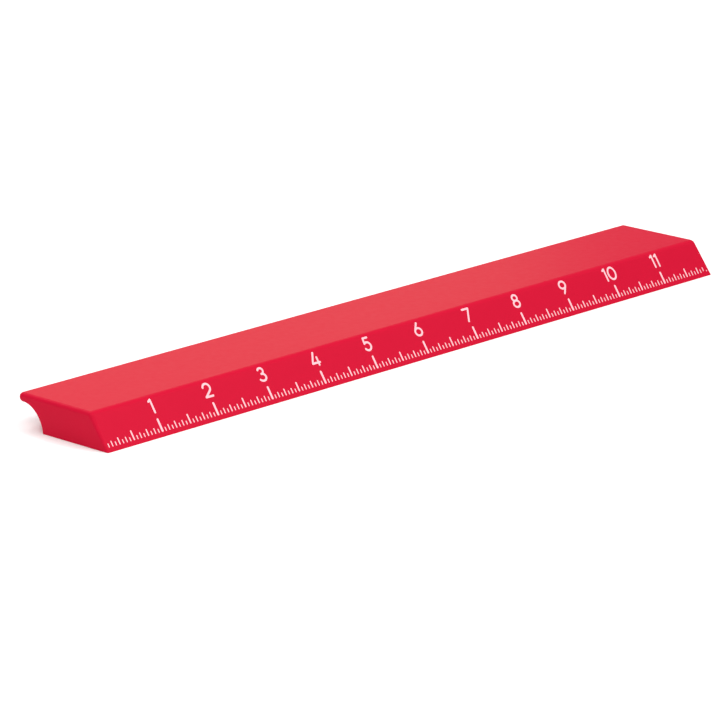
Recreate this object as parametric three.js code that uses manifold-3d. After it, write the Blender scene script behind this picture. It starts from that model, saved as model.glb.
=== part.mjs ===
// A desk ruler: one moulded bar with a wedge-shaped section, a finger groove along its back,
// and an inch scale printed on its sloping front face.
// Millimetres, +Z up. X runs along the ruler from the scale's zero end, and the scale faces -Y.
// The origin is at the middle of the footprint, on the surface that the ruler rests on.

import * as THREE from "three";
import { mergeVertices } from "three/addons/utils/BufferGeometryUtils.js";
import Module from "manifold-3d";

// Overall size.
const LENGTH = 304.8;
const DEPTH = 44.2;
const HEIGHT = 12.2;

// Section across the length, from front to back.
const SLOPE_RUN = 8.3; // the sloping face leans back by this much over the full height
const CREASE_RADIUS = 2.8; // where the sloping face turns into the top
const BASE_DEPTH = 32.1; // the flat underside, from the front edge back to the groove
const GROOVE_RADIUS = 9.3; // the hollow of the finger groove
const LIP_RADIUS = 1.7; // the round lip that overhangs the groove

// Rounding of the two ends. It is full along the top and round the lip, thins out down the slope to
// a share of that at the toe, and fades out down the groove, so that the underside keeps square edges.
const END_RADIUS = 1.5;
const TOE_SHARE = 0.35;
const GROOVE_FADE = 3; // the power of the way along the groove, from the underside to the lip

// Facets of the curved stretches.
const GROOVE_STEPS = 14;
const LIP_STEPS = 12;
const CREASE_STEPS = 6;
const END_STEPS = 5;

// The printed scale.
const INCH = 25.4;
const WHOLE_INCHES = 12;
const PRINT_THICKNESS = 0.1;
const PRINT_CLEARANCE = 0.3; // the print's solids stand off the face, so that no solids touch
const LINE_FOOT = 1.75; // from the front edge up the slope to the foot of every line
const INCH_LINE = { top: 6.65, width: 0.82 };
const HALF_INCH_LINE = { top: 5.3, width: 0.58 };
const CAP_STEPS = 6; // facets of a line's round end

// The numerals.
const NUMERAL_FOOT = 8.8; // from the front edge up the slope to the numerals' lowest centre line
const NUMERAL_HEIGHT = 4.65; // between the lowest and the highest centre line
const NUMERAL_STROKE = 0.76;
const BOW_STEPS = 24;
const PAIRS = { 10: [-2.3, 1.3], 11: [-1.1, 1.17] }; // where the two figures of a pair stand

const SLOPE_ANGLE = Math.atan2(HEIGHT, SLOPE_RUN);
const FRONT = -DEPTH / 2;
const BACK = DEPTH / 2;

const wasm = await Module();
wasm.setup();

const bodyMaterial = new THREE.MeshStandardMaterial({ color: 0xe2263f, roughness: 0.5, metalness: 0 });
const printMaterial = new THREE.MeshStandardMaterial({ color: 0xffe9ec, roughness: 0.6, metalness: 0 });

function arcPoints(centre, radius, from, to, steps) {
  const points = [];
  for (let i = 0; i <= steps; i++) {
    const angle = THREE.MathUtils.lerp(from, to, i / steps);
    const x = centre.x + radius * Math.cos(angle);
    const y = centre.y + radius * Math.sin(angle);
    points.push(new THREE.Vector2(x, y));
  }
  return points;
}

// The groove's centre is outside the bar: its circle passes through the underside's back corner
// and touches the lip's circle.
function grooveCentre(corner, lip) {
  const toLip = lip.clone().sub(corner);
  const distance = toLip.length();
  const reach = GROOVE_RADIUS + LIP_RADIUS;
  const along = (distance ** 2 + GROOVE_RADIUS ** 2 - reach ** 2) / (2 * distance);
  const aside = Math.sqrt(GROOVE_RADIUS ** 2 - along ** 2);
  const unit = toLip.divideScalar(distance);
  return new THREE.Vector2(
    corner.x + unit.x * along + unit.y * aside,
    corner.y + unit.y * along - unit.x * aside,
  );
}

// The bar's outline in the YZ plane, anticlockwise from the front edge. A positive inset draws it
// in, as the rounding of an end does.
function section(inset) {
  const front = new THREE.Vector2(FRONT + (inset * TOE_SHARE) / Math.sin(SLOPE_ANGLE), 0);
  const corner = new THREE.Vector2(FRONT + BASE_DEPTH, 0);
  const lip = new THREE.Vector2(BACK - LIP_RADIUS, HEIGHT - LIP_RADIUS);
  const groove = grooveCentre(corner, lip);
  const toCorner = corner.clone().sub(groove).angle();
  const toLip = lip.clone().sub(groove).angle();

  const hollow = arcPoints(groove, GROOVE_RADIUS, toCorner, toLip, GROOVE_STEPS);
  hollow.forEach((point, i) => {
    const outward = point.clone().sub(groove).normalize();
    point.addScaledVector(outward, inset * (i / GROOVE_STEPS) ** GROOVE_FADE);
  });

  const round = arcPoints(lip, LIP_RADIUS - inset, toLip - Math.PI, Math.PI / 2, LIP_STEPS);

  const halfTurn = SLOPE_ANGLE / 2;
  const crease = new THREE.Vector2(
    FRONT + SLOPE_RUN + CREASE_RADIUS * Math.tan(halfTurn),
    HEIGHT - CREASE_RADIUS,
  );
  const slopeNormal = SLOPE_ANGLE + Math.PI / 2;
  const bend = arcPoints(crease, CREASE_RADIUS - inset, Math.PI / 2, slopeNormal, CREASE_STEPS);

  // The hollow's last point and the lip's first are the same.
  return [front, ...hollow, ...round.slice(1), ...bend];
}

// A closed surface through outlines that have the same number of points, with flat ends.
function loft(rings) {
  const count = rings[0].outline.length;
  const positions = rings.flatMap(({ x, outline }) => outline.flatMap((p) => [x, p.x, p.y]));
  const indices = [];
  for (let ring = 0; ring < rings.length - 1; ring++) {
    for (let i = 0; i < count; i++) {
      const next = (i + 1) % count;
      const a = ring * count + i;
      const b = ring * count + next;
      const c = a + count;
      const d = b + count;
      indices.push(a, b, c, b, d, c);
    }
  }
  const last = (rings.length - 1) * count;
  for (const [a, b, c] of THREE.ShapeUtils.triangulateShape(rings[0].outline, [])) {
    indices.push(a, c, b);
  }
  for (const [a, b, c] of THREE.ShapeUtils.triangulateShape(rings.at(-1).outline, [])) {
    indices.push(last + a, last + b, last + c);
  }
  const geometry = new THREE.BufferGeometry();
  geometry.setAttribute("position", new THREE.Float32BufferAttribute(positions, 3));
  geometry.setIndex(indices);
  geometry.computeVertexNormals();
  return geometry;
}

function bodyGeometry() {
  const rightEnd = [];
  for (let i = 0; i <= END_STEPS; i++) {
    const angle = ((Math.PI / 2) * i) / END_STEPS;
    const x = LENGTH / 2 - END_RADIUS * (1 - Math.sin(angle));
    rightEnd.push({ x, outline: section(END_RADIUS * (1 - Math.cos(angle))) });
  }
  const leftEnd = rightEnd.map(({ x, outline }) => ({ x: -x, outline })).reverse();
  return loft([...leftEnd, ...rightEnd]);
}

// A stroke with round ends along a line of points.
function strokeShape(points, width) {
  const half = width / 2;
  const side = (sign) => points.map((point, i) => {
    const before = points[Math.max(i - 1, 0)];
    const after = points[Math.min(i + 1, points.length - 1)];
    const along = after.clone().sub(before).normalize();
    return new THREE.Vector2(point.x + sign * half * along.y, point.y - sign * half * along.x);
  });
  const cap = (end, inner) => {
    const start = end.clone().sub(inner).angle() - Math.PI / 2;
    return arcPoints(end, half, start, start + Math.PI, CAP_STEPS).slice(1, -1);
  };
  const farCap = cap(points.at(-1), points.at(-2));
  const nearCap = cap(points[0], points[1]);
  return new THREE.Shape([...side(1), ...farCap, ...side(-1).reverse(), ...nearCap]);
}

function ringShape([x, y, halfWidth, halfHeight], width) {
  const shape = new THREE.Shape();
  const hole = new THREE.Path();
  shape.absellipse(x, y, halfWidth + width / 2, halfHeight + width / 2, 0, 2 * Math.PI);
  hole.absellipse(x, y, halfWidth - width / 2, halfHeight - width / 2, 0, 2 * Math.PI, true);
  shape.holes.push(hole);
  return shape;
}

function bowPoints([x, y, halfWidth, halfHeight, from, to]) {
  const points = [];
  for (let i = 0; i <= BOW_STEPS; i++) {
    const angle = THREE.MathUtils.degToRad(THREE.MathUtils.lerp(from, to, i / BOW_STEPS));
    points.push(new THREE.Vector2(x + halfWidth * Math.cos(angle), y + halfHeight * Math.sin(angle)));
  }
  return points;
}

// The numerals' centre lines, in numeral heights, from the middle of the foot.
// line: [x, y, x, y]. bow: [centre x, centre y, half width, half height, from and to degrees].
// ring: a whole ellipse, [centre x, centre y, half width, half height].
const SIX = { rings: [[0, 0.3, 0.335, 0.3]], lines: [[-0.29, 0.45, 0.09, 1]] };
const FIGURES = {
  0: { rings: [[0, 0.5, 0.39, 0.5]] },
  1: { lines: [[0.07, 0, 0.07, 1], [-0.12, 0.88, 0.07, 1]] },
  2: { bows: [[-0.02, 0.67, 0.33, 0.33, 165, -50]], lines: [[0.19, 0.42, -0.36, 0], [-0.36, 0, 0.31, 0]] },
  3: { bows: [[-0.03, 0.77, 0.245, 0.23, 150, -90], [-0.03, 0.27, 0.325, 0.27, 90, -150]] },
  4: { lines: [[0, 1, -0.39, 0.19], [-0.39, 0.19, 0.34, 0.19], [0.19, 0.6, 0.19, 0]] },
  5: { bows: [[-0.02, 0.32, 0.33, 0.32, 130, -150]], lines: [[-0.23, 0.57, -0.19, 1], [-0.19, 1, 0.22, 1]] },
  6: SIX,
  7: { lines: [[-0.32, 1, 0.32, 1], [0.32, 1, -0.1, 0]] },
  8: { rings: [[0, 0.765, 0.265, 0.235], [0, 0.27, 0.32, 0.27]] },
  9: turned(SIX),
};

// The same figure turned half round.
function turned({ rings, lines }) {
  return {
    rings: rings.map(([x, y, halfWidth, halfHeight]) => [-x, 1 - y, halfWidth, halfHeight]),
    lines: lines.map(([x1, y1, x2, y2]) => [-x1, 1 - y1, -x2, 1 - y2]),
  };
}

function extrude(shape) {
  const settings = { depth: PRINT_THICKNESS, bevelEnabled: false, curveSegments: BOW_STEPS };
  return new THREE.ExtrudeGeometry(shape, settings);
}

function toSolid(geometry) {
  geometry.deleteAttribute("normal");
  geometry.deleteAttribute("uv");
  const merged = mergeVertices(geometry);
  const mesh = new wasm.Mesh({
    numProp: 3,
    vertProperties: merged.attributes.position.array,
    triVerts: new Uint32Array(merged.index.array),
  });
  return new wasm.Manifold(mesh);
}

function toGeometry(solid) {
  const { vertProperties, triVerts } = solid.getMesh();
  const geometry = new THREE.BufferGeometry();
  geometry.setAttribute("position", new THREE.BufferAttribute(vertProperties, 3));
  geometry.setIndex(new THREE.BufferAttribute(triVerts, 1));
  geometry.computeVertexNormals();
  return geometry;
}

// One figure, from 0 to 9, as a single flat solid.
function figureGeometry(figure) {
  const { rings = [], bows = [], lines = [] } = FIGURES[figure];
  const scaled = (points) => points.map((point) => point.multiplyScalar(NUMERAL_HEIGHT));
  const ends = ([x1, y1, x2, y2]) => [new THREE.Vector2(x1, y1), new THREE.Vector2(x2, y2)];
  const strokes = [...bows.map(bowPoints), ...lines.map(ends)];
  const shapes = [
    ...rings.map((ring) => ringShape(ring.map((size) => size * NUMERAL_HEIGHT), NUMERAL_STROKE)),
    ...strokes.map((points) => strokeShape(scaled(points), NUMERAL_STROKE)),
  ];
  const solids = shapes.map((shape) => toSolid(extrude(shape)));
  return toGeometry(solids.reduce((whole, solid) => whole.add(solid)));
}

function lineGeometry({ top, width }) {
  const foot = new THREE.Vector2(0, LINE_FOOT + width / 2);
  const head = new THREE.Vector2(0, top - width / 2);
  return extrude(strokeShape([foot, head], width));
}

function printedMark(name, geometry, x, y = 0) {
  const mark = new THREE.Mesh(geometry, printMaterial.clone());
  mark.name = name;
  mark.position.set(x, y, PRINT_CLEARANCE);
  return mark;
}

const ruler = new THREE.Group();

const body = new THREE.Mesh(bodyGeometry(), bodyMaterial);
body.name = "body";
ruler.add(body);

// The scale face's own frame: x along the ruler from zero, y up the slope, z out of the face.
const scaleFace = new THREE.Group();
scaleFace.position.set(-LENGTH / 2, FRONT, 0);
scaleFace.rotation.x = SLOPE_ANGLE;
ruler.add(scaleFace);

for (let inch = 1; inch < WHOLE_INCHES; inch++) {
  const x = inch * INCH;
  scaleFace.add(printedMark(`inch_line_${inch}`, lineGeometry(INCH_LINE), x));
  const figures = [...String(inch)];
  figures.forEach((figure, i) => {
    const suffix = figures.length > 1 ? `_${"ab"[i]}` : "";
    const shift = figures.length > 1 ? PAIRS[inch][i] : 0;
    scaleFace.add(printedMark(`numeral_${inch}${suffix}`, figureGeometry(figure), x + shift, NUMERAL_FOOT));
  });
}

for (let inch = 0; inch < WHOLE_INCHES; inch++) {
  const x = (inch + 0.5) * INCH;
  scaleFace.add(printedMark(`half_inch_line_${inch}`, lineGeometry(HALF_INCH_LINE), x));
}

export default ruler;
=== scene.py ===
"""A red desk ruler: one moulded bar with a wedge section and an inch scale printed on its slope.

Metres, +Z up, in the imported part's own frame: X runs along the ruler from the scale's zero end,
the scale faces -Y, and the origin is at the middle of the footprint.
"""

import math

import bpy
from mathutils import Matrix, Vector
from mathutils.geometry import delaunay_2d_cdt


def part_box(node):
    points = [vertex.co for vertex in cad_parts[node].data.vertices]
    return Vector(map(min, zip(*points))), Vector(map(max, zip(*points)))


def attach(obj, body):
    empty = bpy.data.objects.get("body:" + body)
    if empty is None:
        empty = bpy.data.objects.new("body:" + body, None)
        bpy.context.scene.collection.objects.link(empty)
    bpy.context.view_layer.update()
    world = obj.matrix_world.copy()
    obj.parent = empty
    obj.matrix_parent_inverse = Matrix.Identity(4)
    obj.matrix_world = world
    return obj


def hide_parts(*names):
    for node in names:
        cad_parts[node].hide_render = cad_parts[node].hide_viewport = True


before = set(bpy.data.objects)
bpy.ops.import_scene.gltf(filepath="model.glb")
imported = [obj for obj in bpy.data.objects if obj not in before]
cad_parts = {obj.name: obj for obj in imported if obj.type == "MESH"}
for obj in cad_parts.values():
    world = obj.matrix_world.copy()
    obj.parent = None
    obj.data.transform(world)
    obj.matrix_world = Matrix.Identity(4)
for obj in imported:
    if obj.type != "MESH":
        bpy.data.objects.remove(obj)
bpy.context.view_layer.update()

low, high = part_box("body")

MM = 0.001
SMALLEST = 1e-7

# The bar, as the frame has it.
LENGTH = high.x - low.x
HEIGHT = high.z - low.z
FRONT = low.y
BACK = high.y
SLOPE_RUN = 8.3 * MM
SLOPE_ANGLE = math.atan2(HEIGHT, SLOPE_RUN)
CREASE_RADIUS = 2.8 * MM
BASE_DEPTH = 32.1 * MM
GROOVE_RADIUS = 9.3 * MM
LIP_RADIUS = 1.7 * MM
TOE_RADIUS = 0.05 * MM
HEEL_RADIUS = 0.08 * MM

# The rounding of the two ends is full along the top and round the lip. It thins out down the slope
# to the toe, and down the groove to the underside, to these shares of the full radius.
END_RADIUS = 1.5 * MM
TOE_SHARE = 0.35
BASE_SHARE = 0.04
GROOVE_FADE = 3

# Facets of the curved stretches.
TOE_STEPS = 6
HEEL_STEPS = 6
GROOVE_STEPS = 40
LIP_STEPS = 36
CREASE_STEPS = 20
END_STEPS = 12
SLOPE_STEPS = 4
TOP_STEPS = 10
BASE_STEPS = 8
LENGTH_STEPS = 48

# The printed scale. Heights go up the slope from the front edge.
INCH = 25.4 * MM
WHOLE_INCHES = 12
SIXTEENTHS = 16
INK_THICKNESS = 0.03 * MM
INK_SINK = 0.01 * MM
LINE_FOOT = 1.75 * MM
INCH_LINE = {"top": 6.65 * MM, "width": 0.82 * MM}
HALF_LINE = {"top": 5.3 * MM, "width": 0.58 * MM}
QUARTER_LINE = {"top": 4.3 * MM, "width": 0.48 * MM}
EIGHTH_LINE = {"top": 3.8 * MM, "width": 0.42 * MM}
SIXTEENTH_LINE = {"top": 3.2 * MM, "width": 0.4 * MM}
CAP_STEPS = 12

# The print stops short on the last two lines, by the far end: foot and top of what there is.
WORN_LINES = {190: (2.15 * MM, 3.75 * MM), 191: (1.75 * MM, 2.3 * MM)}

NUMERAL_FOOT = 8.8 * MM
NUMERAL_HEIGHT = 4.65 * MM
NUMERAL_STROKE = 0.76 * MM
BOW_STEPS = 48
PAIRS = {10: (-2.3 * MM, 1.3 * MM), 11: (-1.1 * MM, 1.17 * MM)}

# The numerals' centre lines, in numeral heights from the middle of the foot.
# line: x, y, x, y. bow: centre, half width, half height, from and to degrees. ring: a whole ellipse.
SIX = {"rings": [(0, 0.3, 0.335, 0.3)], "lines": [(-0.29, 0.45, 0.09, 1)]}
FIGURES = {
    "0": {"rings": [(0, 0.5, 0.39, 0.5)]},
    "1": {"lines": [(0.07, 0, 0.07, 1), (-0.12, 0.88, 0.07, 1)]},
    "2": {
        "bows": [(-0.02, 0.67, 0.33, 0.33, 165, -50)],
        "lines": [(0.19, 0.42, -0.36, 0), (-0.36, 0, 0.31, 0)],
    },
    "3": {"bows": [(-0.03, 0.77, 0.245, 0.23, 150, -90), (-0.03, 0.27, 0.325, 0.27, 90, -150)]},
    "4": {"lines": [(0, 1, -0.39, 0.19), (-0.39, 0.19, 0.34, 0.19), (0.19, 0.6, 0.19, 0)]},
    "5": {
        "bows": [(-0.02, 0.32, 0.33, 0.32, 130, -150)],
        "lines": [(-0.23, 0.57, -0.19, 1), (-0.19, 1, 0.22, 1)],
    },
    "6": SIX,
    "7": {"lines": [(-0.32, 1, 0.32, 1), (0.32, 1, -0.1, 0)]},
    "8": {"rings": [(0, 0.765, 0.265, 0.235), (0, 0.27, 0.32, 0.27)]},
    "9": {
        "rings": [(-x, 1 - y, wide, tall) for x, y, wide, tall in SIX["rings"]],
        "lines": [(-x1, 1 - y1, -x2, 1 - y2) for x1, y1, x2, y2 in SIX["lines"]],
    },
}

# Camera.
CAMERA_TARGET = Vector((-33.38, -20.29, 6.0)) * MM
CAMERA_DISTANCE = 1478.9 * MM
CAMERA_AZIMUTH = math.radians(-45.273)
CAMERA_ELEVATION = math.radians(16.02)
CAMERA_ROLL = math.radians(-0.711)
CAMERA_LENS = 214.44
CAMERA_SENSOR = 36
CAMERA_NEAR = 0.01
CAMERA_FAR = 100

# Stage.
FLOOR_HALF = 4.0
FLOOR_COLOUR = (0.9, 0.9, 0.9, 1)
FLOOR_ROUGHNESS = 0.9
WORLD_COLOUR = (1, 1, 1, 1)
WORLD_STRENGTH = 0.45
WHITE = (1, 1, 1)
WARM_WHITE = (1, 0.96, 0.62)

# Azimuth 0 is in front of the scale and 90 is past the right end; angles are in degrees.
# Distances and sides are in metres, and powers in watts.
LIGHTS = {
    "front_light": {"azimuth": 32, "elevation": 48, "distance": 1.6, "side": 1.0, "power": 12.6},
    "left_light": {"azimuth": -60, "elevation": 45, "distance": 0.9, "side": 0.6, "power": 3.7},
    "back_light": {"azimuth": 170, "elevation": 60, "distance": 1.2, "side": 0.8, "power": 7.6},
    "low_back_light": {
        "azimuth": 142, "elevation": 20, "distance": 0.8, "side": 0.4, "power": 0.37, "colour": WARM_WHITE,
    },
}

# Finishes. Texture scales are in features per metre.
PLASTIC_RED = (0.54, 0.0054, 0.0302, 1)
PLASTIC_RED_DEEP = (0.529, 0.0051, 0.0293, 1)
PLASTIC_IOR = 1.5
PLASTIC_SPECULAR = 0.033
PLASTIC_CLOUD_SCALE = 90
PLASTIC_GLOSS_SCALE = 400
PLASTIC_ROUGHNESS = (0.34, 0.38)
PLASTIC_GRAIN_SCALE = 2600
INK_WHITE = (0.87, 0.54, 0.58, 1)
INK_THIN = (0.86, 0.46, 0.51, 1)
INK_SPECULAR = 0.3
INK_COVER_SCALE = 1500
INK_ROUGHNESS = (0.55, 0.7)
GRAIN_DEPTH = 0.006 * MM
GRAIN_STRENGTH = 0.5
NOISE_RANGE = (0.3, 0.7)  # where nearly all of a noise texture's values lie


# ---------------------------------------------------------------- the bar

def arc(centre, radius, start, end, steps):
    """Points on a circle in the YZ plane, as 2D vectors."""
    angles = [start + (end - start) * i / steps for i in range(steps + 1)]
    return [centre + radius * Vector((math.cos(a), math.sin(a))) for a in angles]


def angle_of(vector):
    return math.atan2(vector.y, vector.x)


def groove_centre(corner, lip):
    """The groove's circle passes through the underside's back corner and touches the lip's circle."""
    to_lip = lip - corner
    distance = to_lip.length
    reach = GROOVE_RADIUS + LIP_RADIUS
    along = (distance ** 2 + GROOVE_RADIUS ** 2 - reach ** 2) / (2 * distance)
    aside = math.sqrt(GROOVE_RADIUS ** 2 - along ** 2)
    unit = to_lip.normalized()
    return corner + unit * along + Vector((unit.y, -unit.x)) * aside


def spread(start, end, start_share, end_share, steps):
    """Points strictly between start and end, with their shares of the end rounding."""
    between = [i / steps for i in range(1, steps)]
    return [(start.lerp(end, t), start_share + (end_share - start_share) * t) for t in between]


def section(inset):
    """The outline across the bar, anticlockwise from the toe, drawn in as an end's rounding does.

    Each entry is a point and its share of the end rounding's length along the ruler.
    """
    base_lift = inset * BASE_SHARE

    # The toe is where the underside meets the slope.
    toe_y = FRONT + inset * TOE_SHARE / math.sin(SLOPE_ANGLE) + base_lift / math.tan(SLOPE_ANGLE)
    toe_half = SLOPE_ANGLE / 2
    toe_centre = Vector((toe_y + TOE_RADIUS / math.tan(toe_half), base_lift + TOE_RADIUS))
    toe = arc(toe_centre, TOE_RADIUS, SLOPE_ANGLE + math.pi / 2, math.pi * 1.5, TOE_STEPS)

    corner = Vector((FRONT + BASE_DEPTH, 0))
    lip = Vector((BACK - LIP_RADIUS, HEIGHT - LIP_RADIUS))
    groove = groove_centre(corner, lip)
    to_lip = angle_of(lip - groove)
    start = angle_of(corner - groove) - HEEL_RADIUS / GROOVE_RADIUS
    heel_centre = Vector((corner.x - HEEL_RADIUS - base_lift, base_lift + HEEL_RADIUS))
    heel = arc(heel_centre, HEEL_RADIUS, -math.pi / 2, 0, HEEL_STEPS)

    hollow = []
    for i, point in enumerate(arc(groove, GROOVE_RADIUS, start, to_lip, GROOVE_STEPS)):
        share = BASE_SHARE + (1 - BASE_SHARE) * (i / GROOVE_STEPS) ** GROOVE_FADE
        hollow.append((point + (point - groove).normalized() * inset * share, share))

    rounded = arc(lip, LIP_RADIUS - inset, to_lip - math.pi, math.pi / 2, LIP_STEPS)

    turn = SLOPE_ANGLE / 2
    crease = Vector((FRONT + SLOPE_RUN + CREASE_RADIUS * math.tan(turn), HEIGHT - CREASE_RADIUS))
    bend = arc(crease, CREASE_RADIUS - inset, math.pi / 2, SLOPE_ANGLE + math.pi / 2, CREASE_STEPS)

    outline = [(point, TOE_SHARE) for point in toe]
    outline += spread(toe[-1], heel[0], TOE_SHARE, BASE_SHARE, BASE_STEPS)
    outline += [(point, BASE_SHARE) for point in heel]
    outline += hollow
    outline += [(point, 1) for point in rounded[1:]]
    outline += spread(rounded[-1], bend[0], 1, 1, TOP_STEPS)
    outline += [(point, 1) for point in bend]
    outline += spread(bend[-1], toe[0], 1, TOE_SHARE, SLOPE_STEPS)
    return outline


def bar_rings():
    """Rings of 3D points from the left end to the right end."""
    right = []
    for i in range(END_STEPS + 1):
        angle = math.pi / 2 * i / END_STEPS
        short = END_RADIUS * (1 - math.sin(angle))
        outline = section(END_RADIUS * (1 - math.cos(angle)))
        right.append([Vector((LENGTH / 2 - short * share, p.x, p.y)) for p, share in outline])
    left = [[Vector((-p.x, p.y, p.z)) for p in ring] for ring in reversed(right)]
    middle = []
    for i in range(1, LENGTH_STEPS):
        middle.append([a.lerp(b, i / LENGTH_STEPS) for a, b in zip(left[-1], right[0])])
    return left + middle + right


def make_object(name, points, faces, material):
    mesh = bpy.data.meshes.new(name)
    mesh.from_pydata(points, [], faces)
    mesh.validate()
    mesh.materials.append(material)
    piece = bpy.data.objects.new(name, mesh)
    bpy.context.scene.collection.objects.link(piece)
    return piece


def make_bar(material):
    rings = bar_rings()
    count = len(rings[0])
    points = [point for ring in rings for point in ring]
    faces = []
    for ring in range(len(rings) - 1):
        for i in range(count):
            a = ring * count + i
            b = ring * count + (i + 1) % count
            faces.append((a, b, b + count, a + count))
    last = (len(rings) - 1) * count
    faces.append(tuple(reversed(range(count))))
    faces.append(tuple(range(last, last + count)))
    bar = make_object("moulded_bar", points, faces, material)
    bar.data.shade_smooth()
    weighted = bar.modifiers.new("even_shading", "WEIGHTED_NORMAL")
    weighted.mode = "FACE_AREA"
    weighted.weight = 100
    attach(bar, "root")
    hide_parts("body")


# ---------------------------------------------------------------- the printed scale

def stroke_cells(points, width, closed=False):
    """A stroke as polygons: one for each step along the line, and a half disc at each open end."""
    half = width / 2
    count = len(points)
    sides = []
    for i, point in enumerate(points):
        before = points[i - 1] if closed or i else point
        after = points[(i + 1) % count] if closed or i < count - 1 else point
        along = (after - before).normalized()
        across = Vector((along.y, -along.x)) * half
        sides.append((point + across, point - across))
    cells = []
    for i in range(count if closed else count - 1):
        (a_right, a_left), (b_right, b_left) = sides[i], sides[(i + 1) % count]
        cells.append([a_right, b_right, b_left, a_left])
    if not closed:
        for end, inner in ((points[-1], points[-2]), (points[0], points[1])):
            start = angle_of(end - inner) - math.pi / 2
            cells.append(arc(end, half, start, start + math.pi, CAP_STEPS))
    return cells


def ellipse(x, y, wide, tall, start, end, steps):
    angles = [math.radians(start + (end - start) * i / steps) for i in range(steps + 1)]
    return [Vector((x + wide * math.cos(a), y + tall * math.sin(a))) for a in angles]


def figure_cells(figure, x, y):
    """One figure as stroke polygons, standing with the middle of its foot at x, y."""
    parts = FIGURES[figure]
    strokes = [(ellipse(*ring, 0, 360, BOW_STEPS)[:-1], True) for ring in parts.get("rings", [])]
    strokes += [(ellipse(*bow, BOW_STEPS), False) for bow in parts.get("bows", [])]
    for x1, y1, x2, y2 in parts.get("lines", []):
        strokes.append(([Vector((x1, y1)), Vector((x2, y2))], False))
    cells = []
    for points, closed in strokes:
        placed = [point * NUMERAL_HEIGHT + Vector((x, y)) for point in points]
        cells += stroke_cells(placed, NUMERAL_STROKE, closed)
    return cells


def line_cells(x, line, worn=None):
    foot, top = worn or (LINE_FOOT, line["top"])
    half = line["width"] / 2
    return stroke_cells([Vector((x, foot + half)), Vector((x, top - half))], line["width"])


def on_scale_face(x, up, lift):
    """A point of the slope: x from the zero end, up the slope from the front edge, lifted out of it."""
    sine, cosine = math.sin(SLOPE_ANGLE), math.cos(SLOPE_ANGLE)
    return Vector((x - LENGTH / 2, FRONT + up * cosine - lift * sine, up * sine + lift * cosine))


def make_print(name, cells, material, *nodes):
    """A closed film of ink over the cells, however they overlap."""
    corners = [corner for cell in cells for corner in cell]
    outlines = []
    for cell in cells:
        first = outlines[-1][-1] + 1 if outlines else 0
        outlines.append(list(range(first, first + len(cell))))
    flat, _, pieces, _, _, owners = delaunay_2d_cdt(corners, [], outlines, 1, SMALLEST)
    kept = [piece for piece, owner in zip(pieces, owners) if owner]
    used = sorted({i for piece in kept for i in piece})
    order = {old: new for new, old in enumerate(used)}
    count = len(used)
    points = [on_scale_face(*flat[i], -INK_SINK) for i in used]
    points += [on_scale_face(*flat[i], INK_THICKNESS) for i in used]
    faces = []
    edges = set()
    for piece in kept:
        loop = [order[i] for i in piece]
        faces.append([i + count for i in loop])
        faces.append(loop[::-1])
        edges.update(zip(loop, loop[1:] + loop[:1]))
    for a, b in sorted(edges):
        if (b, a) not in edges:
            faces.append([a, b, b + count, a + count])
    film = make_object(name, points, faces, material)
    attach(film, "root")
    if nodes:
        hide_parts(*nodes)


def make_scale(material):
    groups = {"quarter_inch_lines": [], "eighth_inch_lines": [], "sixteenth_inch_lines": []}
    for step in range(1, WHOLE_INCHES * SIXTEENTHS):
        x = step * INCH / SIXTEENTHS
        worn = WORN_LINES.get(step)
        whole, part = divmod(step, SIXTEENTHS)
        if part == 0:
            name = f"inch_line_{whole}"
            make_print(f"ink_{name}", line_cells(x, INCH_LINE), material, name)
        elif part == 8:
            name = f"half_inch_line_{whole}"
            make_print(f"ink_{name}", line_cells(x, HALF_LINE), material, name)
        elif part % 4 == 0:
            groups["quarter_inch_lines"] += line_cells(x, QUARTER_LINE)
        elif part % 2 == 0:
            groups["eighth_inch_lines"] += line_cells(x, EIGHTH_LINE, worn)
        else:
            groups["sixteenth_inch_lines"] += line_cells(x, SIXTEENTH_LINE, worn)
    for name, cells in groups.items():
        make_print(f"ink_{name}", cells, material)

    for inch in range(1, WHOLE_INCHES):
        figures = str(inch)
        for i, figure in enumerate(figures):
            suffix = "_" + "ab"[i] if len(figures) > 1 else ""
            shift = PAIRS[inch][i] if len(figures) > 1 else 0
            cells = figure_cells(figure, inch * INCH + shift, NUMERAL_FOOT)
            name = f"numeral_{inch}{suffix}"
            make_print(f"ink_{name}", cells, material, name)


# ---------------------------------------------------------------- materials

def new_material(name):
    material = bpy.data.materials.new(name)
    material.use_nodes = True
    return material, material.node_tree.nodes, material.node_tree.links


def noise(nodes, links, scale, detail=2):
    """Noise in the object's own coordinates."""
    where = nodes.new("ShaderNodeTexCoord")
    texture = nodes.new("ShaderNodeTexNoise")
    texture.inputs["Scale"].default_value = scale
    texture.inputs["Detail"].default_value = detail
    links.new(where.outputs["Object"], texture.inputs["Vector"])
    return texture.outputs["Fac"]


def blend_colours(nodes, links, factor, first, second):
    mix = nodes.new("ShaderNodeMix")
    mix.data_type = "RGBA"
    mix.inputs["A"].default_value = first
    mix.inputs["B"].default_value = second
    links.new(factor, mix.inputs["Factor"])
    return mix.outputs["Result"]


def span(nodes, links, value, low_out, high_out):
    """Maps a noise value onto a range."""
    remap = nodes.new("ShaderNodeMapRange")
    remap.inputs["From Min"].default_value = NOISE_RANGE[0]
    remap.inputs["From Max"].default_value = NOISE_RANGE[1]
    remap.inputs["To Min"].default_value = low_out
    remap.inputs["To Max"].default_value = high_out
    links.new(value, remap.inputs["Value"])
    return remap.outputs["Result"]


def bump(nodes, links, height):
    node = nodes.new("ShaderNodeBump")
    node.inputs["Strength"].default_value = GRAIN_STRENGTH
    node.inputs["Distance"].default_value = GRAIN_DEPTH
    links.new(height, node.inputs["Height"])
    return node.outputs["Normal"]


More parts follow.
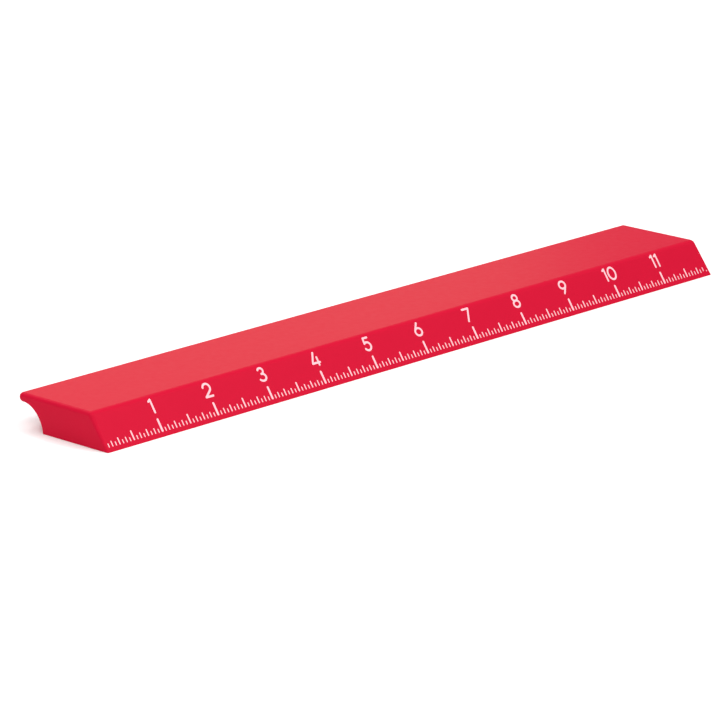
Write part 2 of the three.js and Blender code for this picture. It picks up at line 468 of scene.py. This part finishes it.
def plastic():
    """Satin moulded plastic: a fine tool texture, and colour and gloss that are slightly uneven."""
    material, nodes, links = new_material("satin_red_plastic")
    shader = nodes["Principled BSDF"]
    shader.inputs["IOR"].default_value = PLASTIC_IOR
    shader.inputs["Specular IOR Level"].default_value = PLASTIC_SPECULAR
    cloud = noise(nodes, links, PLASTIC_CLOUD_SCALE, detail=3)
    colour = blend_colours(nodes, links, cloud, PLASTIC_RED, PLASTIC_RED_DEEP)
    links.new(colour, shader.inputs["Base Color"])
    gloss = noise(nodes, links, PLASTIC_GLOSS_SCALE, detail=3)
    links.new(span(nodes, links, gloss, *PLASTIC_ROUGHNESS), shader.inputs["Roughness"])
    grain = noise(nodes, links, PLASTIC_GRAIN_SCALE)
    links.new(bump(nodes, links, grain), shader.inputs["Normal"])
    return material


def ink():
    """Matt white ink, slightly thinner in places."""
    material, nodes, links = new_material("matt_white_ink")
    shader = nodes["Principled BSDF"]
    shader.inputs["Specular IOR Level"].default_value = INK_SPECULAR
    cover = noise(nodes, links, INK_COVER_SCALE)
    colour = blend_colours(nodes, links, cover, INK_WHITE, INK_THIN)
    links.new(colour, shader.inputs["Base Color"])
    links.new(span(nodes, links, cover, *INK_ROUGHNESS), shader.inputs["Roughness"])
    links.new(bump(nodes, links, cover), shader.inputs["Normal"])
    return material


def floor_material():
    material, nodes, _ = new_material("pale_floor")
    shader = nodes["Principled BSDF"]
    shader.inputs["Base Color"].default_value = FLOOR_COLOUR
    shader.inputs["Roughness"].default_value = FLOOR_ROUGHNESS
    shader.inputs["Specular IOR Level"].default_value = 0.0
    return material


# ---------------------------------------------------------------- stage

def make_floor():
    corners = [(x * FLOOR_HALF, y * FLOOR_HALF, 0) for x, y in ((-1, -1), (1, -1), (1, 1), (-1, 1))]
    floor = make_object("floor", corners, [(0, 1, 2, 3)], floor_material())


def make_world():
    world = bpy.data.worlds.new("studio")
    world.use_nodes = True
    background = world.node_tree.nodes["Background"]
    background.inputs["Color"].default_value = WORLD_COLOUR
    background.inputs["Strength"].default_value = WORLD_STRENGTH
    bpy.context.scene.world = world


def towards(azimuth, elevation):
    """The unit vector that points from the object to something in that direction."""
    level = math.cos(elevation)
    return Vector((math.sin(azimuth) * level, -math.cos(azimuth) * level, math.sin(elevation)))


def make_light(name, azimuth, elevation, distance, side, power, colour=WHITE):
    direction = towards(math.radians(azimuth), math.radians(elevation))
    data = bpy.data.lights.new(name, "AREA")
    data.shape = "SQUARE"
    data.size = side
    data.energy = power
    data.color = colour
    light = bpy.data.objects.new(name, data)
    light.location = direction * distance
    light.rotation_euler = (-direction).to_track_quat("-Z", "Y").to_euler()
    bpy.context.scene.collection.objects.link(light)


def make_camera():
    data = bpy.data.cameras.new("camera")
    data.sensor_width = CAMERA_SENSOR
    data.lens = CAMERA_LENS
    data.clip_start = CAMERA_NEAR
    data.clip_end = CAMERA_FAR
    camera = bpy.data.objects.new("camera", data)
    back = towards(CAMERA_AZIMUTH, CAMERA_ELEVATION)
    turned = (-back).to_track_quat("-Z", "Y").to_matrix().to_4x4()
    place = Matrix.Translation(CAMERA_TARGET + back * CAMERA_DISTANCE)
    camera.matrix_world = place @ turned @ Matrix.Rotation(CAMERA_ROLL, 4, "Z")
    bpy.context.scene.collection.objects.link(camera)
    bpy.context.scene.camera = camera


make_camera()
make_world()
make_floor()
for light_name, settings in LIGHTS.items():
    make_light(light_name, **settings)
bpy.context.scene.view_settings.view_transform = "Standard"

make_bar(plastic())
make_scale(ink())
